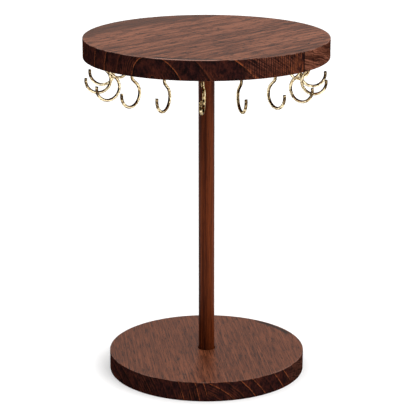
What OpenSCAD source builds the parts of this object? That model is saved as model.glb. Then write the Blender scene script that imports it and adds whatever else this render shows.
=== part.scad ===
// Turning mug tree: a round wooden board with a ring of screw hooks under it,
// carried on a thin post that turns in a smaller round base.
// Origin: centre of the base's underside. +Z up, the front is towards -Y.

/* [Boards] */
// diameter of the round board that carries the hooks
top_d = 245; // [230:1:300]
// thickness of the top board
top_t = 20; // [18:0.5:26]
// diameter of the round base
base_d = 200; // [150:1:260]
// thickness of the base
base_t = 20; // [18:0.5:26]
// flat left by breaking the sharp edges of both boards
arris = 0.6; // [0.3:0.1:1.2]

/* [Post] */
// diameter of the dowel
post_d = 16.3; // [14:0.1:22]
// clear length of the dowel between the two boards
post_clear = 307; // [240:1:380]
// depth of the glued socket under the top board
top_socket = 10; // [8:0.5:11]
// depth of the turning socket in the base
base_socket = 11; // [9:0.5:11.5]
// radial play between the dowel and the turning socket
turn_play = 0.08; // [0.05:0.01:0.10]
// width of the countersink round the mouth of the turning socket
mouth_w = 1.1; // [0.6:0.1:1.6]

/* [Hooks] */
// radius of the ring on which the hooks are screwed in
ring_r = 105.8; // [98:0.2:106]
// thickness of the hook wire
wire_d = 3; // [2.6:0.1:3.4]
// straight length between the board and the first bend
neck = 4.2; // [3:0.1:6]
// centreline radius of the first bend, towards the post
bend_r = 5.6; // [5:0.1:7]
// angle of the first bend
bend_a = 50; // [40:1:58]
// straight length between the two bends
slope = 5.2; // [4:0.1:7]
// centreline radius of the round loop
loop_r = 12.4; // [10:0.1:12.6]
// how far the tip rises past the level of the loop's centre, in degrees of arc
tip_a = 12; // [0:1:25]
// length of the threaded end in the wood
thread_l = 12; // [9:1:13]

/* [Screws] */
// thread diameter of the hidden screws in the post
screw_d = 5; // [4.5:0.1:5.5]
// length of the hanger screw in each of its two halves
hanger_half = 8; // [6:0.5:8]
// length of the pivot screw's thread up into the post
pivot_l = 24; // [16:1:30]
// depth of the recess under the base for the screw head
recess = 5; // [4.8:0.1:5.5]

/* [Hidden] */

hook_count = 18;
hook_step = 360 / hook_count;
// the first hook stands a little to the left of the front
first_hook_a = -2;
// how far each hook stopped short of the radial plane when it was screwed home, or past it
hook_turn = [-6, -1, -2, -3, -5, -3, 2, 4, -3, 1, 5, -2, 3, 1, 4, 3, 1, -6];

board_fn = 96;
round_fn = 32;
wire_fn = 16;
// gap that keeps one solid's wall off the next where they are not meant to bear
fit_gap = 0.02;
// overlap that joins the lengths of one solid
weld = 0.01;
// size of the small swelling that closes the wire where a bend meets a straight
swell_d = wire_d + 0.06;

base_top_z = base_t;
top_under_z = base_t + post_clear;
top_face_z = top_under_z + top_t;

washer_t = 1;
socket_floor_z = base_t - base_socket;
post_foot_z = socket_floor_z + washer_t;
post_head_z = top_under_z + top_socket;
post_edge = 0.8;
mouth_h = 1.4;

// the head sits on the washer with a hair of end play, so the post can turn
end_play = 0.1;
head_h = 3;
head_d = 10;
recess_d = 16;
washer_hole_d = screw_d + 0.8;
head_seat_z = recess - washer_t - end_play;

thread_pitch = 2.4;
thread_depth = 0.5;
hook_thread_d = wire_d + 0.2;
hook_hole_d = hook_thread_d + 2 * fit_gap;
hook_hole_l = thread_l + 1;
screw_hole_d = screw_d + 2 * fit_gap;

wood_red = [0.33, 0.15, 0.09];
wood_post = [0.36, 0.17, 0.10];
gold = [0.80, 0.66, 0.36];
zinc = [0.72, 0.72, 0.70];
nylon = [0.93, 0.92, 0.88];

// round board standing on z = 0, with its sharp edges broken
module board(d, t) {
    rotate_extrude($fn = board_fn)
        polygon([
            [0, 0], [d / 2 - arris, 0], [d / 2, arris],
            [d / 2, t - arris], [d / 2 - arris, t], [0, t]
        ]);
}

// half outline of a wood screw's thread from z = 0 up: one ridge to each turn
function thread_outline(r, len, pitch) = [
    for (turn = [0 : floor(len / pitch) - 1])
        each [
            [r - thread_depth, turn * pitch],
            [r - thread_depth, (turn + 0.3) * pitch],
            [r, (turn + 0.5) * pitch],
            [r - thread_depth, (turn + 0.7) * pitch]
        ]
];

// threaded length standing on z = 0 that ends in a short taper
module thread(r, len, pitch, sides) {
    core = r - thread_depth;
    rotate_extrude($fn = sides)
        polygon(concat(
            [[0, 0]],
            thread_outline(r, len - 1, pitch),
            [[core, len - 1], [core / 2, len], [0, len]]
        ));
}

// flat ring standing on z = 0
module ring(outer_d, hole_d, t) {
    rotate_extrude($fn = round_fn)
        translate([hole_d / 2, 0])
            square([(outer_d - hole_d) / 2, t]);
}

// part of a wire ring in the XZ plane about the origin, from angle a0 over a sweep
module wire_arc(r, a0, sweep, steps) {
    rotate([90, 0, 0])
        rotate([0, 0, a0])
            rotate_extrude(angle = sweep, $fn = steps)
                translate([r, 0])
                    circle(d = wire_d, $fn = wire_fn);
}

// closes the wire at one end of its straight length
module wire_swell(x, z) {
    translate([x, 0, z])
        sphere(d = swell_d, $fn = wire_fn);
}

// one hook: z = 0 is the face of the wood, +X points away from the post
module hook_shape() {
    slope_x = -bend_r * (1 - cos(bend_a));
    slope_z = -neck - bend_r * sin(bend_a);
    slope_end_x = slope_x - slope * sin(bend_a);
    slope_end_z = slope_z - slope * cos(bend_a);

    thread(hook_thread_d / 2, thread_l, thread_pitch, wire_fn);
    translate([0, 0, -neck])
        cylinder(d = wire_d, h = neck, $fn = wire_fn);
    translate([-bend_r, 0, -neck])
        wire_arc(bend_r, -bend_a, bend_a, 36);
    wire_swell(slope_x, slope_z);
    translate([slope_x, 0, slope_z])
        rotate([0, bend_a + 180, 0])
            cylinder(d = wire_d, h = slope, $fn = wire_fn);
    wire_swell(slope_end_x, slope_end_z);
    translate([slope_end_x + loop_r * cos(bend_a), 0, slope_end_z - loop_r * sin(bend_a)])
        wire_arc(loop_r, 180 - bend_a, 180 + bend_a + tip_a, 30);
}

// puts its child under the board at hook number i's place
module at_hook(i) {
    rotate([0, 0, first_hook_a + i * hook_step - 90])
        translate([ring_r, 0, top_under_z])
            rotate([0, 0, hook_turn[i]])
                children();
}

module hook(i) {
    color(gold)
        at_hook(i)
            hook_shape();
}

module base_disc() {
    color(wood_red)
        difference() {
            board(base_d, base_t);
            translate([0, 0, socket_floor_z])
                cylinder(d = post_d + 2 * turn_play, h = base_t, $fn = 2 * round_fn);
            translate([0, 0, base_top_z - mouth_h])
                cylinder(
                    r1 = post_d / 2 + turn_play,
                    r2 = post_d / 2 + turn_play + mouth_w * 2,
                    h = mouth_h * 2,
                    $fn = 2 * round_fn
                );
            translate([0, 0, -1])
                cylinder(d = washer_hole_d, h = base_t, $fn = round_fn);
            translate([0, 0, -1])
                cylinder(d = recess_d, h = recess + 1, $fn = round_fn);
        }
}

module thrust_washer() {
    color(nylon)
        translate([0, 0, socket_floor_z])
            ring(post_d - 1, washer_hole_d, washer_t);
}

module pivot_washer() {
    color(zinc)
        translate([0, 0, recess - washer_t])
            ring(recess_d - 2, washer_hole_d, washer_t);
}

module post() {
    color(wood_post)
        difference() {
            rotate_extrude($fn = 2 * round_fn)
                polygon([
                    [0, post_foot_z], [post_d / 2 - post_edge, post_foot_z],
                    [post_d / 2, post_foot_z + post_edge],
                    [post_d / 2, post_head_z - post_edge],
                    [post_d / 2 - post_edge, post_head_z], [0, post_head_z]
                ]);
            translate([0, 0, post_foot_z - 1])
                cylinder(d = screw_hole_d, h = pivot_l + 2, $fn = round_fn);
            translate([0, 0, post_head_z - hanger_half - 1])
                cylinder(d = screw_hole_d, h = hanger_half + 2, $fn = round_fn);
        }
}

// pan-head screw up through the base's floor into the foot of the post
module pivot_screw() {
    neck_l = post_foot_z - head_seat_z;
    color(zinc) {
        translate([0, 0, post_foot_z])
            thread(screw_d / 2, pivot_l, thread_pitch, wire_fn);
        translate([0, 0, head_seat_z - weld])
            cylinder(d = screw_d, h = neck_l + weld, $fn = round_fn);
        difference() {
            translate([0, 0, head_seat_z - head_h])
                rotate_extrude($fn = round_fn)
                    polygon([
                        [0, 0], [head_d / 2 - 1.6, 0], [head_d / 2 - 0.4, 0.9],
                        [head_d / 2, 2], [head_d / 2, head_h], [0, head_h]
                    ]);
            for (a = [0, 90])
                translate([0, 0, head_seat_z - head_h])
                    rotate([0, 0, a])
                        cube([4.6, 1, 3.2], center = true);
        }
    }
}

// double-ended screw that draws the top board down onto the post
module hanger_screw() {
    color(zinc)
        translate([0, 0, post_head_z]) {
            thread(screw_d / 2, hanger_half - 1, thread_pitch, wire_fn);
            rotate([180, 0, 0])
                thread(screw_d / 2, hanger_half, thread_pitch, wire_fn);
        }
}

module top_disc() {
    color(wood_red)
        difference() {
            translate([0, 0, top_under_z])
                board(top_d, top_t);
            translate([0, 0, top_under_z - 1])
                cylinder(d = post_d + 2 * fit_gap, h = top_socket + 1, $fn = 2 * round_fn);
            translate([0, 0, top_under_z])
                cylinder(d = screw_hole_d, h = top_socket + hanger_half - 0.5, $fn = round_fn);
            for (i = [0 : hook_count - 1])
                at_hook(i)
                    translate([0, 0, -1])
                        cylinder(d = hook_hole_d, h = hook_hole_l + 1, $fn = wire_fn);
        }
}

base_disc();
thrust_washer();
pivot_washer();
post();
pivot_screw();
hanger_screw();
top_disc();
hook(0);  // hook_01
hook(1);  // hook_02
hook(2);  // hook_03
hook(3);  // hook_04
hook(4);  // hook_05
hook(5);  // hook_06
hook(6);  // hook_07
hook(7);  // hook_08
hook(8);  // hook_09
hook(9);  // hook_10
hook(10);  // hook_11
hook(11);  // hook_12
hook(12);  // hook_13
hook(13);  // hook_14
hook(14);  // hook_15
hook(15);  // hook_16
hook(16);  // hook_17
hook(17);  // hook_18
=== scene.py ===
"""Turning mug tree: two round wooden boards, a thin post and a ring of brass hooks.

Lengths are metres, +Z is up and the front faces -Y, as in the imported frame.
"""

from math import atan2, cos, hypot, pi, radians, sin

import bmesh
import bpy
from mathutils import Matrix, Vector


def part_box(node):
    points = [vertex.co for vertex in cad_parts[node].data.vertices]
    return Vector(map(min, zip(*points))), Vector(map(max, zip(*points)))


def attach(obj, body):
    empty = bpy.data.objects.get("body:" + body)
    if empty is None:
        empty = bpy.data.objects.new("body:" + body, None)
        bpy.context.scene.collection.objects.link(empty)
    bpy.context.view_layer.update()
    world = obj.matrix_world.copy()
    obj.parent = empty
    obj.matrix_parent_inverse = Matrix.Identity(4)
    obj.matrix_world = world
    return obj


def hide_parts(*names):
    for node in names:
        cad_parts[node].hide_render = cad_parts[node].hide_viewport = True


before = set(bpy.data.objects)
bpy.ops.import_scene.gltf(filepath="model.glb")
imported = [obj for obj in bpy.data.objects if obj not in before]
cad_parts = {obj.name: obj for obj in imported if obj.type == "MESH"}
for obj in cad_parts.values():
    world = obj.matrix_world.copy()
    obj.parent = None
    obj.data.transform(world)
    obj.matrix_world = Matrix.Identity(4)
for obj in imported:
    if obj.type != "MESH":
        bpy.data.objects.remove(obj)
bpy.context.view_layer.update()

MM = 0.001

# ---------------------------------------------------------------------------
# sizes read from the frame
# ---------------------------------------------------------------------------
base_low, base_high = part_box("base_disc")
top_low, top_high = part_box("top_disc")
post_low, post_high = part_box("post")
hanger_low, hanger_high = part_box("hanger_screw")
screw_tip_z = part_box("pivot_screw")[1][2]
socket_floor_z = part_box("thrust_washer")[0][2]

base_r = base_high[0]
base_top_z = base_high[2]
top_r = top_high[0]
top_under_z = top_low[2]
top_face_z = top_high[2]
post_r = post_high[0]
foot_z = post_low[2]
head_z = post_high[2]

# ---------------------------------------------------------------------------
# driving dimensions that the boxes do not give
# ---------------------------------------------------------------------------
ARRIS = 0.7 * MM
POST_EDGE = 0.8 * MM
TURN_PLAY = 0.08 * MM
FIT_GAP = 0.02 * MM
HOLE_REST = 0.5 * MM
MOUTH_W = 1.1 * MM
MOUTH_H = 1.4 * MM
SCREW_R = 2.5 * MM
WASHER_HOLE_R = 2.9 * MM
TIP_ROOM = 1 * MM
RECESS_R = 8 * MM
RECESS_H = 5 * MM

HOOK_COUNT = 18
FIRST_HOOK = -2
RING_R = 105.8 * MM
HOOK_TURN = (-6, -1, -2, -3, -5, -3, 2, 4, -3, 1, 5, -2, 3, 1, 4, 3, 1, -6)
WIRE_R = 1.5 * MM
NECK = 4.2 * MM
BEND_R = 5.6 * MM
BEND_A = radians(50)
SLOPE = 5.2 * MM
LOOP_R = 12.4 * MM
TIP_A = radians(12)
WIRE_LENGTH = NECK + BEND_R * BEND_A + SLOPE + LOOP_R * (pi + BEND_A + TIP_A)
THREAD_L = 12 * MM
THREAD_R = 1.6 * MM
THREAD_DEPTH = 0.5 * MM
THREAD_PITCH = 2.4 * MM
THREAD_TURNS = int(THREAD_L / THREAD_PITCH)
THREAD_CORE = 0.3 * THREAD_PITCH
THREAD_FLANK = 0.2 * THREAD_PITCH

BOARD_SIDES = 288
ROUND_SIDES = 96
WIRE_SIDES = 20
DRILL_SIDES = 24

# how near a height or a radius has to be to count as the same
SAME_Z = 1e-5
SAME_R = 1e-4


# ---------------------------------------------------------------------------
# modelling helpers
# ---------------------------------------------------------------------------
def let_go():
    """Leaves edit mode and deselects every object."""
    if bpy.context.object and bpy.context.object.mode != "OBJECT":
        bpy.ops.object.mode_set(mode="OBJECT")
    bpy.ops.object.select_all(action="DESELECT")


def start_piece(name):
    """Names the new primitive, puts its place into its mesh and opens it with nothing picked."""
    piece = bpy.context.object
    piece.name = name
    piece.data.name = name
    bpy.ops.object.transform_apply(location=True, rotation=True, scale=True)
    bpy.ops.object.mode_set(mode="EDIT")
    bpy.ops.mesh.select_all(action="DESELECT")
    return piece


def pick(piece, kind, wanted):
    """Selects the faces or edges of the open mesh that the test wants."""
    bpy.ops.mesh.select_mode(type="FACE" if kind == "faces" else "EDGE")
    bpy.ops.mesh.select_all(action="DESELECT")
    mesh = bmesh.from_edit_mesh(piece.data)
    for item in getattr(mesh, kind):
        if wanted(item):
            item.select_set(True)
    mesh.select_flush_mode()
    bmesh.update_edit_mesh(piece.data)


def cap(z, up):
    """Test for the flat face about the axis at a height, looking up or down."""
    def wanted(face):
        middle = face.calc_center_median()
        return (abs(middle.z - z) < SAME_Z and hypot(middle.x, middle.y) < SAME_R
                and face.normal.z * (1 if up else -1) > 0.9)
    return wanted


def hoop(z, radius):
    """Test for the edges of a circle about the axis."""
    def wanted(edge):
        return all(abs(v.co.z - z) < SAME_Z and abs(hypot(v.co.x, v.co.y) - radius) < SAME_R
                   for v in edge.verts)
    return wanted


def inset_to(radius_now, radius):
    """Insets the picked cap from one radius to another."""
    bpy.ops.mesh.inset(thickness=radius_now - radius, use_even_offset=True)


def draw_out(dz, widen=1.0):
    """Extrudes the picked cap along Z and scales its outline."""
    bpy.ops.mesh.extrude_region_move(TRANSFORM_OT_translate={"value": (0, 0, dz)})
    if widen != 1.0:
        bpy.ops.transform.resize(value=(widen, widen, 1))


def close_piece(piece, smooth_angle=35):
    """Merges doubles, turns the normals out and shades the piece."""
    bpy.ops.mesh.select_all(action="SELECT")
    bpy.ops.mesh.remove_doubles(threshold=1e-6)
    bpy.ops.mesh.normals_make_consistent(inside=False)
    let_go()
    piece.select_set(True)
    bpy.context.view_layer.objects.active = piece
    bpy.ops.object.shade_smooth_by_angle(angle=radians(smooth_angle))
    let_go()


def nick(piece, z, radius, angle, width, depth):
    """Presses a small dent into a board's arris."""
    mesh = bmesh.from_edit_mesh(piece.data)
    for v in mesh.verts:
        reach = hypot(v.co.x, v.co.y)
        if abs(v.co.z - z) < 2 * ARRIS and reach > radius - 2 * ARRIS:
            along = (atan2(v.co.y, v.co.x) - angle) * radius / width
            if abs(along) < 1:
                press = depth * (1 - along * along)
                v.co.x -= press * cos(angle)
                v.co.y -= press * sin(angle)
                v.co.z -= press * 0.8
    bmesh.update_edit_mesh(piece.data)


def board_blank(name, radius, low, high):
    """Round board with its arrises rounded over."""
    let_go()
    bpy.ops.mesh.primitive_cylinder_add(
        vertices=BOARD_SIDES, radius=radius, depth=high - low,
        location=(0, 0, (low + high) / 2), end_fill_type="NGON")
    board = start_piece(name)
    pick(board, "edges", lambda e: hoop(low, radius)(e) or hoop(high, radius)(e))
    bpy.ops.mesh.bevel(offset=ARRIS, segments=4, affect="EDGES")
    for z, up in ((low, False), (high, True)):
        pick(board, "faces", cap(z, up))
        inset_to(radius - ARRIS, radius - 3 * ARRIS)
    return board


# ---------------------------------------------------------------------------
# base board
# ---------------------------------------------------------------------------
def make_base_board():
    """Base with the post's turning socket above and the screw head's recess below."""
    base = board_blank("base_board", base_r, base_low[2], base_top_z)
    rim_r = base_r - 3 * ARRIS
    bore_r = post_r + TURN_PLAY
    mouth_r = bore_r + MOUTH_W

    pick(base, "faces", cap(base_top_z, True))
    inset_to(rim_r, mouth_r)
    draw_out(-MOUTH_H, bore_r / mouth_r)
    draw_out(socket_floor_z - base_top_z + MOUTH_H)
    inset_to(bore_r, WASHER_HOLE_R)

    pick(base, "faces", cap(base_low[2], False))
    inset_to(rim_r, RECESS_R)
    draw_out(RECESS_H)
    inset_to(RECESS_R, WASHER_HOLE_R)

    # the two small caps go, and a tunnel joins their outlines
    pick(base, "faces", lambda f: cap(socket_floor_z, True)(f) or cap(RECESS_H, False)(f))
    bpy.ops.mesh.delete(type="FACE")
    pick(base, "edges", lambda e: e.is_boundary)
    bpy.ops.mesh.bridge_edge_loops()

    nick(base, base_top_z, base_r, radians(-105.5), 2.6 * MM, 0.7 * MM)
    nick(base, base_top_z, base_r, radians(-77.5), 2.2 * MM, 0.6 * MM)
    close_piece(base)
    return base


# ---------------------------------------------------------------------------
# top board
# ---------------------------------------------------------------------------
def make_drills():
    """One drill to each hook, joined into a single cutter."""
    past_end = 1 * MM
    past_face = 2 * MM
    drills = []
    for number in range(HOOK_COUNT):
        angle = radians(FIRST_HOOK + number * 360 / HOOK_COUNT - 90)
        let_go()
        bpy.ops.mesh.primitive_cylinder_add(
            vertices=DRILL_SIDES, radius=THREAD_R + FIT_GAP,
            depth=THREAD_L + past_end + past_face,
            location=(RING_R * cos(angle), RING_R * sin(angle),
                      top_under_z + (THREAD_L + past_end - past_face) / 2))
        drills.append(bpy.context.object)
    for drill in drills:
        drill.select_set(True)
    bpy.context.view_layer.objects.active = drills[0]
    bpy.ops.object.join()
    return bpy.context.object


def make_top_board():
    """Top with the post's socket and the holes for the hanger screw and the hooks."""
    top = board_blank("top_board", top_r, top_under_z, top_face_z)
    socket_r = post_r + FIT_GAP
    hole_r = SCREW_R + FIT_GAP

    pick(top, "faces", cap(top_under_z, False))
    inset_to(top_r - 3 * ARRIS, socket_r)
    draw_out(head_z - top_under_z)
    inset_to(socket_r, hole_r)
    draw_out(hanger_high[2] - head_z + HOLE_REST)
    close_piece(top)

    drills = make_drills()
    let_go()
    top.select_set(True)
    bpy.context.view_layer.objects.active = top
    cut = top.modifiers.new("hook_holes", "BOOLEAN")
    cut.operation = "DIFFERENCE"
    cut.solver = "EXACT"
    cut.object = drills
    bpy.ops.object.modifier_apply(modifier=cut.name)
    bpy.data.objects.remove(drills)
    return top


# ---------------------------------------------------------------------------
# post
# ---------------------------------------------------------------------------
def make_post():
    """Dowel with its edges broken and a screw hole in each end."""
    let_go()
    bpy.ops.mesh.primitive_cylinder_add(
        vertices=ROUND_SIDES, radius=post_r, depth=head_z - foot_z,
        location=(0, 0, (foot_z + head_z) / 2), end_fill_type="NGON")
    post = start_piece("turned_post")
    pick(post, "edges", lambda e: hoop(foot_z, post_r)(e) or hoop(head_z, post_r)(e))
    bpy.ops.mesh.bevel(offset=POST_EDGE, segments=3, affect="EDGES")
    hole_r = SCREW_R + FIT_GAP
    for z, up, depth in (
            (foot_z, False, screw_tip_z - foot_z + TIP_ROOM),
            (head_z, True, hanger_low[2] - head_z - TIP_ROOM)):
        pick(post, "faces", cap(z, up))
        inset_to(post_r - POST_EDGE, hole_r)
        draw_out(depth)
    close_piece(post)
    return post


# ---------------------------------------------------------------------------
# hooks
# ---------------------------------------------------------------------------
def mark_wire(hook, bend_end, slope_run, slope_end, loop_centre):
    """Notes on every vertex its millimetres along the wire and its place around it."""
    bend_centre = Vector((-BEND_R, 0, -NECK))
    bend_length = BEND_R * BEND_A
    notes = hook.data.attributes.new("wire", "FLOAT_VECTOR", "POINT")
    for vert, note in zip(hook.data.vertices, notes.data):
        flat = Vector((vert.co.x, 0, vert.co.z))
        from_loop = flat - loop_centre
        loop_turn = (atan2(-from_loop.z, -from_loop.x) + BEND_A) % (2 * pi)
        if flat.z > -NECK:
            along, across = -flat.z, flat.x
        elif (flat - bend_end).dot(slope_run) < 0:
            spoke = flat - bend_centre
            along = NECK + BEND_R * atan2(-spoke.z, spoke.x)
            across = spoke.length - BEND_R
        elif (flat - slope_end).dot(slope_run) < 0 and flat.x < loop_centre.x:
            along = NECK + bend_length + (flat - bend_end).dot(slope_run)
            across = (flat - bend_end).dot(Vector((cos(BEND_A), 0, -sin(BEND_A))))
        else:
            along = NECK + bend_length + SLOPE + LOOP_R * loop_turn
            across = LOOP_R - from_loop.length
        note.vector = (along / MM, across / WIRE_R, vert.co.y / WIRE_R)


def make_hook_pattern():
    """One hook bent from wire: z = 0 is the face of the wood, +X points away from the post."""
    let_go()
    bpy.ops.mesh.primitive_circle_add(
        vertices=WIRE_SIDES, radius=WIRE_R, fill_type="NGON", location=(0, 0, 0))
    hook = start_piece("hook_pattern")
    slope_run = Vector((-sin(BEND_A), 0, -cos(BEND_A)))
    bend_end = Vector((-BEND_R * (1 - cos(BEND_A)), 0, -NECK - BEND_R * sin(BEND_A)))
    slope_end = bend_end + SLOPE * slope_run
    loop_centre = slope_end + LOOP_R * Vector((cos(BEND_A), 0, -sin(BEND_A)))

    bpy.ops.mesh.select_all(action="SELECT")
    bpy.ops.mesh.extrude_region_move(TRANSFORM_OT_translate={"value": (0, 0, -NECK)})
    bpy.ops.mesh.spin(
        steps=10, angle=-BEND_A, center=(-BEND_R, 0, -NECK), axis=(0, 1, 0))
    bpy.ops.mesh.extrude_region_move(
        TRANSFORM_OT_translate={"value": tuple(SLOPE * slope_run)})
    bpy.ops.mesh.spin(
        steps=44, angle=pi + BEND_A + TIP_A, center=tuple(loop_centre), axis=(0, 1, 0))
    # the cut end of the wire has its edge taken off
    bpy.ops.mesh.bevel(offset=0.35 * MM, segments=3, affect="EDGES")

    # threaded end, one ridge to a turn
    pick(hook, "faces", lambda f: cap(0, True)(f) or cap(0, False)(f))
    core = (THREAD_R - THREAD_DEPTH) / WIRE_R
    flare = THREAD_R / (THREAD_R - THREAD_DEPTH)
    bpy.ops.mesh.inset(thickness=WIRE_R * (1 - core))
    for turn in range(THREAD_TURNS):
        draw_out(THREAD_CORE)
        draw_out(THREAD_FLANK, flare)
        draw_out(THREAD_FLANK, 1 / flare)
        draw_out(THREAD_CORE if turn < THREAD_TURNS - 1 else THREAD_FLANK)
    bpy.ops.transform.resize(value=(0.5, 0.5, 1))
    close_piece(hook, 40)
    mark_wire(hook, bend_end, slope_run, slope_end, loop_centre)
    return hook


def place_hooks(pattern):
    """Copies the pattern round the ring, each copy with its own mesh and its own turn."""
    hooks = []
    for number in range(HOOK_COUNT):
        turn = radians(FIRST_HOOK + number * 360 / HOOK_COUNT - 90)
        place = (Matrix.Rotation(turn, 4, "Z")
                 @ Matrix.Translation((RING_R, 0, top_under_z))
                 @ Matrix.Rotation(radians(HOOK_TURN[number]), 4, "Z"))
        hook = pattern.copy()
        hook.data = pattern.data.copy()
        hook.name = hook.data.name = "wire_hook_%02d" % (number + 1)
        hook.data.transform(place)
        bpy.context.collection.objects.link(hook)
        hooks.append(hook)
    bpy.data.objects.remove(pattern)
    return hooks


# ---------------------------------------------------------------------------
# material helpers
# ---------------------------------------------------------------------------
def new_finish(name):
    """A new material with its node tree and its main shader."""
    finish = bpy.data.materials.new(name)
    finish.use_nodes = True
    tree = finish.node_tree
    return finish, tree, tree.nodes["Principled BSDF"]


def feed(tree, socket, value):
    """Links a socket into another, or sets it."""
    if isinstance(value, bpy.types.NodeSocket):
        tree.links.new(value, socket)
    else:
        socket.default_value = value


def calc(tree, operation, *values):
    """One step of arithmetic."""
    node = tree.nodes.new("ShaderNodeMath")
    node.operation = operation
    for socket, value in zip(node.inputs, values):
        feed(tree, socket, value)
    return node.outputs[0]


def plus(tree, total, *others):
    for value in others:
        total = calc(tree, "ADD", total, value)
    return total


def times(tree, total, *others):
    for value in others:
        total = calc(tree, "MULTIPLY", total, value)
    return total


def less(tree, value, taken):
    return calc(tree, "SUBTRACT", value, taken)


def rest_of(tree, value):
    """What the value lacks to make 1."""
    return calc(tree, "SUBTRACT", 1.0, value)


def off_from(tree, value, middle):
    """How far the value lies from a middle, either way."""
    return calc(tree, "ABSOLUTE", less(tree, value, middle))


def pull_apart(tree, value, amount):
    """Noise around a half turned into an offset around nothing."""
    return times(tree, less(tree, value, 0.5), amount)


def ease(tree, value, start, end):
    """0 before start, 1 after end, smooth between; start may be the larger of the two."""
    node = tree.nodes.new("ShaderNodeMapRange")
    node.interpolation_type = "SMOOTHSTEP"
    feed(tree, node.inputs["Value"], value)
    node.inputs["From Min"].default_value = start
    node.inputs["From Max"].default_value = end
    return node.outputs[0]


def object_coords(tree):
    return tree.nodes.new("ShaderNodeTexCoord").outputs["Object"]


def parts_of(tree, vector):
    split = tree.nodes.new("ShaderNodeSeparateXYZ")
    tree.links.new(vector, split.inputs[0])
    return split.outputs


def from_parts(tree, *parts):
    join = tree.nodes.new("ShaderNodeCombineXYZ")
    for socket, part in zip(join.inputs, parts):
        feed(tree, socket, part)
    return join.outputs[0]


def length_of(tree, a, b):
    return calc(tree, "SQRT", plus(tree, times(tree, a, a), times(tree, b, b)))


def stretch(tree, vector, scale, turn=0.0):
    """Scales a set of coordinates and turns it about Z."""
    node = tree.nodes.new("ShaderNodeMapping")
    feed(tree, node.inputs["Vector"], vector)
    node.inputs["Scale"].default_value = scale
    node.inputs["Rotation"].default_value = (0, 0, turn)
    return node.outputs[0]


def speckle(tree, vector, scale=None, detail=3.0, rough=0.5):
    """Noise around a half; scale says how dense it lies along each axis."""
    node = tree.nodes.new("ShaderNodeTexNoise")
    feed(tree, node.inputs["Vector"], stretch(tree, vector, scale) if scale else vector)
    node.inputs["Scale"].default_value = 1.0
    node.inputs["Detail"].default_value = detail
    node.inputs["Roughness"].default_value = rough
    return node.outputs["Fac"]


def shades(tree, value, stops):
    """Colour ramp from (place, colour) stops."""
    node = tree.nodes.new("ShaderNodeValToRGB")
    ramp = node.color_ramp
    while len(ramp.elements) < len(stops):
        ramp.elements.new(0.5)
    for element, (place, colour) in zip(ramp.elements, stops):
        element.position = place
        element.color = (*colour, 1)
    feed(tree, node.inputs["Fac"], value)
    return node.outputs["Color"]


def tint(tree, under, over, amount, strength=1.0):
    """Lays one colour over another where the amount is high."""
    node = tree.nodes.new("ShaderNodeMix")
    node.data_type = "RGBA"
    feed(tree, node.inputs["Factor"], times(tree, amount, strength))
    feed(tree, node.inputs[6], under)
    feed(tree, node.inputs[7], over if isinstance(over, bpy.types.NodeSocket) else (*over, 1))
    return node.outputs[2]


def choose(tree, which, first, second):
    """The first value where which is 0 and the second where it is 1."""
    node = tree.nodes.new("ShaderNodeMix")
    feed(tree, node.inputs["Factor"], which)
    feed(tree, node.inputs[2], first)
    feed(tree, node.inputs[3], second)
    return node.outputs[0]


def set_rough(tree, shader, least, value, spread):
    """Roughness that grows with a value from its least."""
    tree.links.new(plus(tree, times(tree, value, spread), least), shader.inputs["Roughness"])


def raise_grain(tree, shader, height, strength, distance):
    """Bump from a height."""
    node = tree.nodes.new("ShaderNodeBump")
    node.inputs["Strength"].default_value = strength
    node.inputs["Distance"].default_value = distance
    tree.links.new(height, node.inputs["Height"])
    tree.links.new(node.outputs["Normal"], shader.inputs["Normal"])


# ---------------------------------------------------------------------------
# wood
# ---------------------------------------------------------------------------
PER_METRE = 1000
FINE_RING = 2.3
SAW_PITCH = 2.5
BAND_SCALE = (0.003, 0.028, 0.028)
MIDDLE_TONE = 0.47
# degrees either side of a middle at which a stretch of the edge ends, and at which it is full
SCUFF_REACH = (19, 12)
SAWN_REACH = (17, 10)
# degrees from the glue line at which the orange wood starts, and at which it is full
ORANGE_REACH = (-20, -4)
SWIRL_TAIL = 25
# pale arris colours: rubbed-off stain and a painted highlight along the rounded edge
WORN_AND_HIGHLIT_FACE = (0.42, 0.26, 0.21)
WORN_AND_HIGHLIT_RIM = (0.36, 0.19, 0.15)


def lay_grain(tree, angle):
    """The place in the board, and the same in millimetres with the grain along X."""
    place = object_coords(tree)
    return place, stretch(tree, place, (PER_METRE, PER_METRE, PER_METRE), -radians(angle))


def count_rings(tree, across, up, wander, stave):
    """Place within the growth ring (0 to 1), strength of that ring, distance from the heart."""
    side = less(tree, across, stave["heart"][0])
    rise = less(tree, up, stave["heart"][1])
    # on the far side of the heart the rings may lean and lie closer
    far = calc(tree, "MAXIMUM", times(tree, side, -1.0), 0.0)
    rise = plus(tree, rise, times(tree, far, stave["lean"]))
    reach = plus(tree, length_of(tree, side, rise), wander)
    squeeze = times(tree, ease(tree, far, 0.0, 10.0), -stave["squeeze"])
    reach = times(tree, reach, plus(tree, squeeze, 1.0))
    turns = calc(tree, "DIVIDE", less(tree, reach, stave["first_ring"]), stave["ring"])
    lot = tree.nodes.new("ShaderNodeTexWhiteNoise")
    lot.noise_dimensions = "1D"
    tree.links.new(calc(tree, "FLOOR", turns), lot.inputs["W"])
    return calc(tree, "FRACT", turns), lot.outputs["Value"], reach


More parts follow.
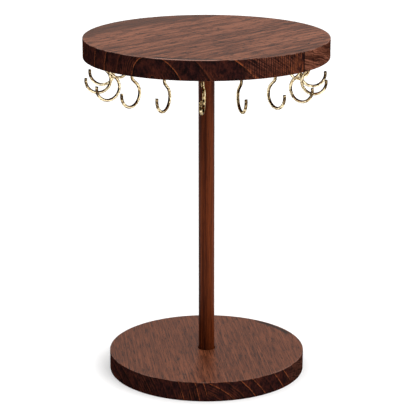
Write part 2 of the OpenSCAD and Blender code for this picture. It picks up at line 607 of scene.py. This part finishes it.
def board_rings(tree, plank, laid):
    """Growth rings of a board; where it has a joint, the second stave has its own."""
    across, up = parts_of(tree, laid)[1:]
    wander = speckle(tree, laid, (0.006, 0.02, 0.03), detail=2.0)
    ripple = speckle(tree, laid, (0.02, 0.12, 0.12), detail=2.0)
    wander = plus(tree, pull_apart(tree, wander, plank["drift"]), pull_apart(tree, ripple, 1.0))
    ring, strength, reach = count_rings(tree, across, up, wander, plank["staves"][0])
    joint = None
    if "joint" in plank:
        joint = calc(tree, "GREATER_THAN", across, plank["joint"])
        other = count_rings(tree, across, up, wander, plank["staves"][1])
        ring = choose(tree, joint, ring, other[0])
        strength = choose(tree, joint, strength, other[1])
        reach = choose(tree, joint, reach, other[2])
    fine_ring = calc(tree, "FRACT", calc(tree, "DIVIDE", reach, FINE_RING))
    return {"across": across, "ring": ring, "strength": strength,
            "fine_ring": fine_ring, "joint": joint}


def scuffed(tree, x, y, middle):
    """1 along the stretch of the edge that has been rubbed hardest, where the painted arris
    highlight is widest and the painted crease shade lies.
    """
    off = off_from(tree, calc(tree, "ARCTAN2", y, x), radians(middle))
    return ease(tree, off, *map(radians, SCUFF_REACH))


def arris_wear_and_highlight(tree, place, radius, z, middle):
    """1 on a board's upper arris, fading within a millimetre, broken up by knocks: rubbed-off
    stain and a painted highlight along the rounded edge.
    """
    x, y, height = parts_of(tree, place)
    out = less(tree, length_of(tree, x, y), radius - 0.2 * MM)
    up = less(tree, height, z - 0.2 * MM)
    near = rest_of(tree, ease(tree, length_of(tree, out, up), 0.2 * MM, 0.8 * MM))
    knocks = speckle(tree, place, (70, 70, 70), detail=4.0, rough=0.7)
    knocks = times(tree, ease(tree, knocks, 0.40, 0.62), 0.5)
    knocks = calc(tree, "MAXIMUM", knocks, scuffed(tree, x, y, middle))
    return times(tree, near, knocks)


def add_stains(tree, plank, colour, across, streak):
    """Dark stripes along the grain; a width of 0 darkens all the wood past the middle."""
    for middle, width, depth in plank["stains"]:
        off = plus(tree, less(tree, across, middle), pull_apart(tree, streak, 5.0))
        if width:
            stain = rest_of(tree, ease(tree, calc(tree, "ABSOLUTE", off), 0.2 * width, width))
        else:
            stain = ease(tree, off, -2.0, 3.0)
        colour = tint(tree, colour, plank["stain"], stain, depth)
    return colour


def crease_shade_line(tree, plank, place, band, radius):
    """Painted crease shade just inside the arris along its scuffed stretch, where the rounding
    widens.
    """
    x, y = parts_of(tree, place)[:2]
    inside = plus(tree, length_of(tree, x, y), pull_apart(tree, band, 4 * MM))
    return times(tree, ease(tree, inside, radius - 8 * MM, radius - 5 * MM),
                 ease(tree, inside, radius - 1.0 * MM, radius - 2.5 * MM),
                 scuffed(tree, x, y, plank["scuff"]))


def make_face_finish(name, plank, radius, z):
    """Flat faces: long grain under a thin satin varnish."""
    finish, tree, shader = new_finish(name)
    place, laid = lay_grain(tree, plank["face_grain"])
    rings = board_rings(tree, plank, laid)
    strand = speckle(tree, laid, plank["strand"], detail=6.0, rough=0.80)
    streak = speckle(tree, laid, plank["streak"], detail=4.0, rough=0.6)
    band = speckle(tree, laid, BAND_SCALE, detail=2.0)
    pore = speckle(tree, laid, plank["pores"], detail=5.0, rough=0.80)

    tone = plus(tree, times(tree, streak, 0.55), times(tree, band, 0.45))
    late = ease(tree, rings["ring"], 0.55, 1.0)
    tone = less(tree, tone, times(tree, late, 0.05))
    if rings["joint"]:
        tone = less(tree, tone, times(tree, rings["joint"], 0.03))
    colour = shades(tree, tone, (
        (MIDDLE_TONE - plank["spread"], plank["dark"]), (MIDDLE_TONE, plank["mid"]),
        (MIDDLE_TONE + plank["spread"], plank["light"])))

    # lighter strands between darker ones, then the open pores
    pale = ease(tree, strand, 0.46, 0.60)
    deep = rest_of(tree, ease(tree, strand, 0.38, 0.50))
    open_pores = rest_of(tree, ease(tree, pore, 0.42, 0.48))
    colour = tint(tree, colour, plank["light"], pale, 0.85)
    colour = tint(tree, colour, plank["dark"], deep, 0.85)
    colour = tint(tree, colour, plank["pore"], open_pores, 0.9)
    colour = add_stains(tree, plank, colour, rings["across"], streak)
    # thin painted shade where the widened rounding meets the flat face
    crease_shade = crease_shade_line(tree, plank, place, band, radius)
    colour = tint(tree, colour, plank["pore"], crease_shade, 0.85)
    # pale arris: rubbed-off stain and a painted highlight along the rounded edge
    wear_and_highlight = arris_wear_and_highlight(tree, place, radius, z, plank["scuff"])
    colour = tint(tree, colour, WORN_AND_HIGHLIT_FACE, wear_and_highlight, plank["worn_and_highlit"])

    tree.links.new(colour, shader.inputs["Base Color"])
    set_rough(tree, shader, plank["face_rough"], strand, 0.2)
    shader.inputs["Specular IOR Level"].default_value = plank["gloss"]
    height = plus(tree, times(tree, strand, 0.6), times(tree, pore, 0.5))
    raise_grain(tree, shader, height, 0.35, 0.3 * MM)
    return finish


def draw_rings(tree, plank, rings, laid, colour):
    """Each ring glows orange on its outer side and is nearly black on its inner side."""
    glow = rest_of(tree, ease(tree, rings["ring"], 0.0, 0.35))
    late = ease(tree, rings["ring"], 0.75, 1.0)
    colour = tint(tree, colour, plank["rim_light"], glow, 0.35)
    colour = tint(tree, colour, plank["rim_dark"], late, 0.8)

    line = rest_of(tree, ease(tree, rings["ring"], 0.0, plank["ring_w"]))
    broken = ease(tree, speckle(tree, laid, (0.1, 0.3, 0.3)), 0.30, 0.55)
    strong = ease(tree, rings["strength"], 0.0, 0.5)
    quiet = plus(tree, times(tree, ease(tree, rings["across"], *plank["quiet"]), -0.9), 1.0)
    colour = tint(tree, colour, plank["rim_ring"],
                  times(tree, line, broken, strong, quiet), 0.9)

    thin = rest_of(tree, ease(tree, rings["fine_ring"], 0.0, 0.35))
    patch = ease(tree, speckle(tree, laid, (0.02, 0.04, 0.04), detail=2.0), 0.50, 0.64)
    return tint(tree, colour, plank["rim_ring"], times(tree, thin, patch), 0.25)


def add_flecks(tree, plank, arc, rise, sawn, colour):
    """Short pale flecks slanting down the sawn stretch."""
    slant = plus(tree, times(tree, arc, 1.1), times(tree, rise, 1.7))
    fleck = speckle(tree, from_parts(tree, slant, times(tree, rise, 0.06), 0.0), detail=1.0)
    fleck = ease(tree, fleck, 0.44, 0.60)
    return tint(tree, colour, plank["rim_fleck"], times(tree, fleck, sawn), 0.6)


def brighten_to_glue(tree, plank, turn, arc, rise, colour):
    """Orange wood in upright dashes, brightest just short of the glue line."""
    short = less(tree, turn, radians(plank["glue"]))
    dash = speckle(tree, from_parts(
        tree, times(tree, arc, 0.5), times(tree, rise, 0.08), 7.0), detail=1.0)
    bright = times(tree, ease(tree, short, *map(radians, ORANGE_REACH)),
                   ease(tree, dash, 0.40, 0.62))
    return tint(tree, colour, plank["rim_ring"], bright, 0.45)


def add_swirl(tree, plank, turn, arc, rise, colour):
    """Paler wood that swirls along one stretch of the edge."""
    start, end = plank["swirl"]
    swirled = times(tree, ease(tree, turn, radians(start), radians(start + plank["swirl_fade"])),
                    ease(tree, turn, radians(end), radians(end - SWIRL_TAIL)))
    eddy = speckle(tree, from_parts(
        tree, times(tree, arc, 0.05), times(tree, rise, 0.08), 3.0), detail=2.0)
    flow = plus(tree, times(tree, rise, 0.55), times(tree, arc, 0.16),
                pull_apart(tree, eddy, 4.0))
    run = speckle(tree, from_parts(tree, flow, times(tree, arc, 0.02), 0.0), rough=0.6)
    pale = shades(tree, run, (
        (0.36, plank["swirl_dark"]), (0.5, plank["swirl_mid"]), (0.64, plank["swirl_light"])))
    return tint(tree, colour, pale, swirled)


def make_rim_finish(name, plank, radius, z):
    """Turned edge: dark end grain with thin orange growth rings."""
    finish, tree, shader = new_finish(name)
    place, laid = lay_grain(tree, plank["grain"])
    rings = board_rings(tree, plank, laid)
    x, y, height = parts_of(tree, place)
    turn = calc(tree, "ARCTAN2", y, x)
    arc = times(tree, turn, radius * PER_METRE)
    rise = times(tree, height, PER_METRE)

    mottle = speckle(tree, laid, (0.05, 0.10, 0.10), detail=5.0, rough=0.65)
    colour = shades(tree, mottle, (
        (0.32, plank["rim_dark"]), (0.48, plank["rim_mid"]), (0.74, plank["rim_light"])))
    colour = draw_rings(tree, plank, rings, laid, colour)

    # the flecks and the upright marks left by the saw share one stretch of the edge
    sawn = ease(tree, off_from(tree, turn, radians(plank["sawn"])), *map(radians, SAWN_REACH))
    colour = add_flecks(tree, plank, arc, rise, sawn, colour)
    if "glue" in plank:
        colour = brighten_to_glue(tree, plank, turn, arc, rise, colour)
    teeth = calc(tree, "SINE", times(tree, arc, 2 * pi / SAW_PITCH))
    marks = times(tree, ease(tree, teeth, -0.2, 0.8), sawn)
    colour = tint(tree, colour, plank["rim_dark"], marks, 0.75)
    colour = add_swirl(tree, plank, turn, arc, rise, colour)
    if "glue" in plank:
        off = off_from(tree, turn, radians(plank["glue"]))
        line = rest_of(tree, ease(tree, off, 0.6 * MM / radius, 1.1 * MM / radius))
        colour = tint(tree, colour, plank["rim_dark"], line)

    grit = speckle(tree, laid, (0.5, 0.5, 0.22), detail=4.0, rough=0.75)
    pits = rest_of(tree, ease(tree, grit, 0.38, 0.50))
    colour = tint(tree, colour, plank["rim_light"], ease(tree, grit, 0.5, 0.64), 0.4)
    colour = tint(tree, colour, plank["rim_dark"], pits, 0.7)
    # pale arris: rubbed-off stain and a painted highlight along the rounded edge
    wear_and_highlight = arris_wear_and_highlight(tree, place, radius, z, plank["scuff"])
    colour = tint(tree, colour, WORN_AND_HIGHLIT_RIM, wear_and_highlight, plank["worn_and_highlit"])

    tree.links.new(colour, shader.inputs["Base Color"])
    set_rough(tree, shader, 0.42, mottle, 0.2)
    shader.inputs["Specular IOR Level"].default_value = 0.0
    raise_grain(tree, shader, plus(tree, grit, times(tree, marks, -0.5)), 0.4, 0.3 * MM)
    return finish


def make_post_finish():
    """Dowel: straight upright grain, redder and glossier than the boards."""
    dark, mid, light = (0.022, 0.004, 0.002), (0.062, 0.011, 0.003), (0.120, 0.025, 0.006)
    pale_strand, deep_strand = (0.165, 0.036, 0.009), (0.030, 0.006, 0.002)
    pore_brown = (0.020, 0.005, 0.002)

    finish, tree, shader = new_finish("post_wood")
    laid = lay_grain(tree, 0)[1]
    band = speckle(tree, laid, (0.16, 0.16, 0.004), detail=3.0, rough=0.6)
    strand = speckle(tree, laid, (0.55, 0.55, 0.012), detail=5.0, rough=0.75)
    pore = speckle(tree, laid, (1.6, 1.6, 0.05), detail=3.0, rough=0.7)
    colour = shades(tree, band, ((0.36, dark), (0.5, mid), (0.64, light)))
    colour = tint(tree, colour, pale_strand, ease(tree, strand, 0.46, 0.64), 0.6)
    deep = rest_of(tree, ease(tree, strand, 0.34, 0.50))
    colour = tint(tree, colour, deep_strand, deep, 0.7)
    open_pores = rest_of(tree, ease(tree, pore, 0.34, 0.46))
    colour = tint(tree, colour, pore_brown, open_pores, 0.7)

    tree.links.new(colour, shader.inputs["Base Color"])
    set_rough(tree, shader, 0.30, strand, 0.16)
    shader.inputs["Specular IOR Level"].default_value = 0.04
    raise_grain(tree, shader, plus(tree, strand, pore), 0.25, 0.2 * MM)
    return finish


# ---------------------------------------------------------------------------
# metal and nylon
# ---------------------------------------------------------------------------
def make_brass_finish():
    """Brass plate: pale gold, browned in streaks along the wire that are partly painted
    reflection bands, browned at the tip, with painted shade at the neck under the board and on
    the inner side of the wire and a painted highlight on its outer side.
    """
    end_shade_and_brown, inner_shade, outer_highlight = 0.20, 0.16, 0.06
    end_start, end_full = 4.5, 0.5
    length = WIRE_LENGTH / MM
    own_streaks = 110

    finish, tree, shader = new_finish("brass_plate")
    place = object_coords(tree)
    wire = tree.nodes.new("ShaderNodeAttribute")
    wire.attribute_name = "wire"
    along, across, beside = parts_of(tree, wire.outputs["Vector"])

    # a slow change over the whole piece gives every hook streaks of its own; the streaks are
    # tarnish and painted reflection bands, from near black to pale gold
    lot = speckle(tree, place, (18, 18, 18), detail=0.0)
    streak = speckle(tree, from_parts(
        tree, times(tree, along, 0.13), times(tree, across, 0.9),
        plus(tree, times(tree, beside, 1.1), times(tree, lot, own_streaks))), rough=0.6)
    # painted shade on the neck just under the board; browning at the tip
    neck_shade_and_tip_brown = calc(tree, "MAXIMUM", ease(tree, along, end_start, end_full),
                ease(tree, along, length - end_start, length - end_full))
    # painted shade on the inner side of the wire, painted highlight on its outer side
    inner = ease(tree, across, 0.35, 0.95)
    outer = ease(tree, across, -0.55, -1.0)
    # painted highlight on the outer side of the wire, painted shade on its inner side and at the
    # neck
    brown_and_painted_light = plus(tree, times(tree, neck_shade_and_tip_brown, end_shade_and_brown), times(tree, inner, inner_shade),
                 times(tree, outer, -outer_highlight))
    colour = shades(tree, less(tree, streak, brown_and_painted_light), (
        (0.32, (0.022, 0.012, 0.006)), (0.40, (0.170, 0.105, 0.046)),
        (0.47, (0.520, 0.380, 0.190)), (0.55, (0.960, 0.850, 0.580))))

    tree.links.new(colour, shader.inputs["Base Color"])
    shader.inputs["Metallic"].default_value = 1.0
    shader.inputs["Specular Tint"].default_value = (0.07, 0.04, 0.02, 1)
    set_rough(tree, shader, 0.08, streak, 0.12)
    scratches = speckle(tree, place, (900, 900, 900), rough=0.6)
    raise_grain(tree, shader, scratches, 0.3, 0.12 * MM)
    return finish


def make_zinc_finish():
    """Zinc plate: pale grey with faint crystal patches."""
    finish, tree, shader = new_finish("zinc_plate")
    patches = speckle(tree, object_coords(tree), (700, 700, 700), detail=4.0, rough=0.6)
    colour = shades(tree, patches, (
        (0.35, (0.42, 0.42, 0.43)), (0.5, (0.58, 0.58, 0.57)), (0.65, (0.70, 0.69, 0.64))))
    tree.links.new(colour, shader.inputs["Base Color"])
    shader.inputs["Metallic"].default_value = 1.0
    set_rough(tree, shader, 0.26, patches, 0.2)
    raise_grain(tree, shader, patches, 0.15, 0.1 * MM)
    return finish


def make_nylon_finish():
    """Milky nylon with a dull moulded skin."""
    finish, tree, shader = new_finish("nylon")
    skin = speckle(tree, object_coords(tree), (1800, 1800, 1800), rough=0.6)
    colour = shades(tree, skin, (
        (0.3, (0.70, 0.68, 0.62)), (0.7, (0.84, 0.83, 0.79))))
    tree.links.new(colour, shader.inputs["Base Color"])
    set_rough(tree, shader, 0.42, skin, 0.15)
    raise_grain(tree, shader, skin, 0.1, 0.1 * MM)
    return finish


def wear_finish(piece, *finishes):
    """Gives a piece its finishes in order."""
    piece.data.materials.clear()
    for finish in finishes:
        piece.data.materials.append(finish)


def split_finishes(board):
    """Gives the turned edge of a board the second finish, and the rest the first."""
    for face in board.data.polygons:
        outer = hypot(face.center.x, face.center.y) > 0.9 * board.dimensions.x / 2
        face.material_index = 1 if outer and abs(face.normal.z) < 0.75 else 0


# ---------------------------------------------------------------------------
# room
# ---------------------------------------------------------------------------
def make_room():
    """Pale floor under an even studio sky, brighter overhead and to the right."""
    everywhere, overhead_light, right_light, wall_light = 0.06, 1.75, 0.20, 0.22

    let_go()
    bpy.ops.mesh.primitive_plane_add(size=24, location=(0, 4, 0))
    floor = bpy.context.object
    floor.name = "floor"
    finish, tree, shader = new_finish("floor_paint")
    shader.inputs["Base Color"].default_value = (0.93, 0.93, 0.93, 1)
    shader.inputs["Roughness"].default_value = 0.9
    shader.inputs["Specular IOR Level"].default_value = 0.1
    wear_finish(floor, finish)

    world = bpy.data.worlds.new("studio")
    bpy.context.scene.world = world
    world.use_nodes = True
    tree = world.node_tree
    sky = tree.nodes["Background"]
    way = tree.nodes.new("ShaderNodeTexCoord").outputs["Generated"]
    x, y, z = parts_of(tree, way)
    overhead = ease(tree, z, 0.30, 0.80)
    rightward = ease(tree, x, 0.1, 0.9)
    # pale wall far behind the piece, narrow enough to leave the rounded edges dark
    wall = times(tree, ease(tree, y, 0.80, 0.93), ease(tree, z, 0.60, 0.35))
    light = plus(tree, times(tree, overhead, overhead_light), everywhere,
                 times(tree, rightward, right_light), times(tree, wall, wall_light))
    sky.inputs["Color"].default_value = (1, 1, 1, 1)
    tree.links.new(light, sky.inputs["Strength"])


def add_softbox(name, place, aim, size, power):
    """Flat lamp that looks at a point."""
    lamp = bpy.data.lights.new(name, "AREA")
    lamp.shape = "RECTANGLE"
    lamp.size, lamp.size_y = size
    lamp.energy = power
    box = bpy.data.objects.new(name, lamp)
    box.location = place
    box.rotation_euler = (Vector(aim) - Vector(place)).to_track_quat("-Z", "Y").to_euler()
    bpy.context.collection.objects.link(box)


def make_camera():
    """Camera in front of the mug tree, looking down at it."""
    distance = 1.7292
    height = 0.6670
    look_down = radians(16.03)
    camera = bpy.data.cameras.new("camera")
    camera.sensor_width = 36
    camera.lens = 153.42
    camera.shift_x = 0.0036
    camera.clip_end = 60
    holder = bpy.data.objects.new("camera", camera)
    holder.location = (0, -distance, height)
    holder.rotation_euler = (pi / 2 - look_down, 0, 0)
    bpy.context.collection.objects.link(holder)
    bpy.context.scene.camera = holder


# ---------------------------------------------------------------------------
# the two boards
# ---------------------------------------------------------------------------
# Directions (grain, sawn, scuff, glue, swirl) are degrees about Z. Stains, staves, joint, quiet,
# drift and rings are millimetres across the grain. Strand, pores and streak say how dense that
# figure lies along, across and up.
RIM_TONES = {
    "rim_dark": (0.005, 0.003, 0.003), "rim_mid": (0.015, 0.005, 0.005),
    "rim_light": (0.052, 0.013, 0.008), "rim_ring": (0.250, 0.066, 0.022),
    "rim_fleck": (0.180, 0.055, 0.030),
}
TOP_PLANK = dict(
    RIM_TONES,
    # figure of the faces
    face_grain=46, strand=(0.013, 0.20, 0.20), pores=(0.045, 0.34, 0.34),
    streak=(0.008, 0.09, 0.09), spread=0.16,
    stains=((83, 0, 0.55), (-13, 2.6, 0.65), (-31, 1.6, 0.35), (52, 2.0, 0.25)),
    # growth rings
    grain=38.5, drift=3.0, ring_w=0.07, quiet=(200, 210),
    staves=[{"heart": (-56.5, 328), "first_ring": 21, "ring": 18.5,
             "lean": 0.35, "squeeze": 0.10}],
    # marks on the turned edge
    sawn=-58, glue=-41, swirl=(-41, 30), swirl_fade=0.3,
    # varnish, wear, the painted arris highlight and the painted crease shade
    gloss=0.12, face_rough=0.28, scuff=-100, worn_and_highlit=0.75,
    # colours
    dark=(0.062, 0.019, 0.009), mid=(0.135, 0.043, 0.020), light=(0.240, 0.086, 0.045),
    pore=(0.012, 0.004, 0.002), stain=(0.045, 0.017, 0.008),
    swirl_dark=(0.018, 0.006, 0.004), swirl_mid=(0.075, 0.025, 0.014),
    swirl_light=(0.190, 0.068, 0.040))
BASE_PLANK = dict(
    RIM_TONES,
    # figure of the faces
    face_grain=97, strand=(0.016, 0.75, 0.75), pores=(0.045, 0.85, 0.85),
    streak=(0.010, 0.30, 0.30), spread=0.32,
    stains=((55, 2.2, 0.3), (-48, 3.0, 0.25)),
    # growth rings, on either side of the joint
    grain=97, drift=2.5, ring_w=0.12, quiet=(36, 42), joint=12,
    staves=[{"heart": (38, -48), "first_ring": 72, "ring": 9.0, "lean": 0, "squeeze": 0},
            {"heart": (135, -20), "first_ring": 103, "ring": 7.5, "lean": 0, "squeeze": 0}],
    # marks on the turned edge
    sawn=150, swirl=(-40, 20), swirl_fade=14,
    # varnish, wear, the painted arris highlight and the painted crease shade
    gloss=0.15, face_rough=0.24, scuff=40, worn_and_highlit=0.4,
    # colours
    dark=(0.048, 0.013, 0.006), mid=(0.110, 0.031, 0.013), light=(0.205, 0.065, 0.029),
    pore=(0.008, 0.003, 0.001), stain=(0.035, 0.011, 0.005),
    swirl_dark=(0.010, 0.004, 0.003), swirl_mid=(0.034, 0.012, 0.008),
    swirl_light=(0.070, 0.026, 0.017))

# ---------------------------------------------------------------------------
# build
# ---------------------------------------------------------------------------
make_camera()
make_room()
add_softbox("key", place=(1.1, -1.0, 0.9), aim=(0, 0, 0.2), size=(1.5, 2.0), power=16)
bpy.context.scene.view_settings.view_transform = "Standard"

base_board = make_base_board()
top_board = make_top_board()
turned_post = make_post()
hooks = place_hooks(make_hook_pattern())

wear_finish(base_board,
            make_face_finish("base_face", BASE_PLANK, base_r, base_top_z),
            make_rim_finish("base_rim", BASE_PLANK, base_r, base_top_z))
wear_finish(top_board,
            make_face_finish("top_face", TOP_PLANK, top_r, top_face_z),
            make_rim_finish("top_rim", TOP_PLANK, top_r, top_face_z))
split_finishes(base_board)
split_finishes(top_board)
wear_finish(turned_post, make_post_finish())
brass = make_brass_finish()
zinc = make_zinc_finish()
nylon = make_nylon_finish()
for hook in hooks:
    wear_finish(hook, brass)
for node, finish in (("pivot_screw", zinc), ("pivot_washer", zinc), ("hanger_screw", zinc),
                     ("thrust_washer", nylon)):
    for material_slot in bpy.data.objects[node].material_slots:
        material_slot.material = finish

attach(base_board, "base")
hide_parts("base_disc")
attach(top_board, "carousel")
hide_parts("top_disc")
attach(turned_post, "carousel")
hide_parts("post")
for number, hook in enumerate(hooks):
    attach(hook, "carousel")
    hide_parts("hook_%02d" % (number + 1))
